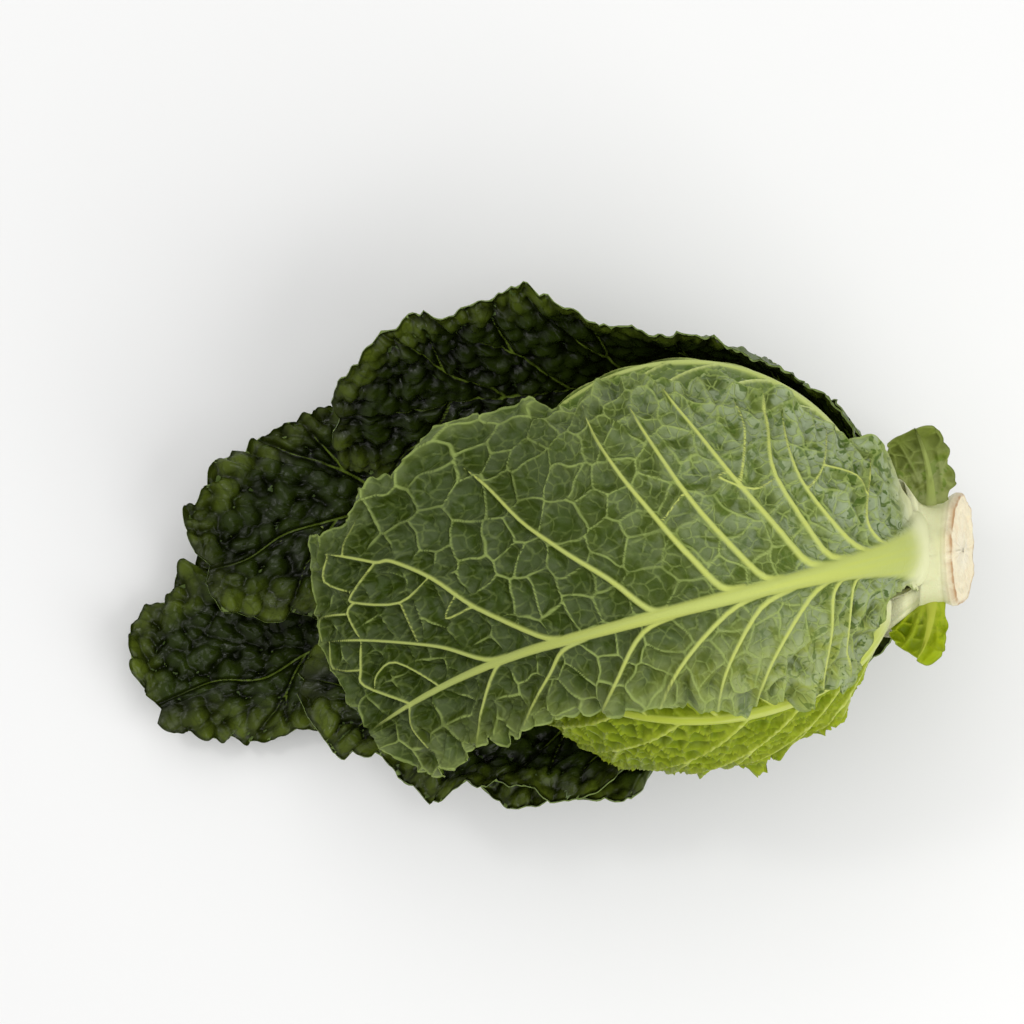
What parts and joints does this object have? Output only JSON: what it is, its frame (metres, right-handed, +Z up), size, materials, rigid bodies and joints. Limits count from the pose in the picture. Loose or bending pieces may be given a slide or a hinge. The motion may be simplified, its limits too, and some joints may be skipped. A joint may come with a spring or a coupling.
{
  "type": "savoy cabbage",
  "caption": "Savoy cabbage on its side: blistered, ribbed leaves with waved edges opening from a tight head, with a thick cut stem",
  "frame": {"origin": "middle of the plan box at the height of the surface that the cabbage lies on", "axes": "+X from the leaf tips to the cut stem, +Y across to the upper side in the picture, +Z up, away from the surface"},
  "size_m": [0.2834, 0.17, 0.1607],
  "materials": {
    "leaf_under": "waxy green underside with a greyish bloom and pale yellow-green ribs and net",
    "leaf_dark": "very dark green blistered upper face with a soft gloss and thin pale veins",
    "leaf_green": "mid green waxy leaf with pale veins",
    "leaf_yellow": "yellow-green inner leaf with a frilled margin and pale ribs",
    "leaf_pale": "pale yellow-green heart leaf, slightly glossy",
    "cut_stem": "moist cream cut face with fibres and a brown rim"
  },
  "bodies": {
    "root": {"front_leaf": "leaf_under", "upper_left_leaf": "leaf_dark", "lower_left_leaf": "leaf_dark", "lower_side_leaf": "leaf_yellow", "upper_side_leaf": "leaf_green", "back_upper_leaf": "leaf_dark", "back_lower_leaf": "leaf_dark", "under_leaf": "leaf_dark", "inner_lower_leaf": "leaf_yellow", "inner_upper_leaf": "leaf_yellow", "inner_under_leaf": "leaf_yellow", "heart": "leaf_pale", "heart_leaf_top": "leaf_pale", "heart_leaf_back": "leaf_pale", "heart_leaf_front": "leaf_pale", "upper_collar_leaf": "leaf_green", "lower_collar_leaf": "leaf_yellow", "cut_stem": "cut_stem"}
  },
  "joints": []
}
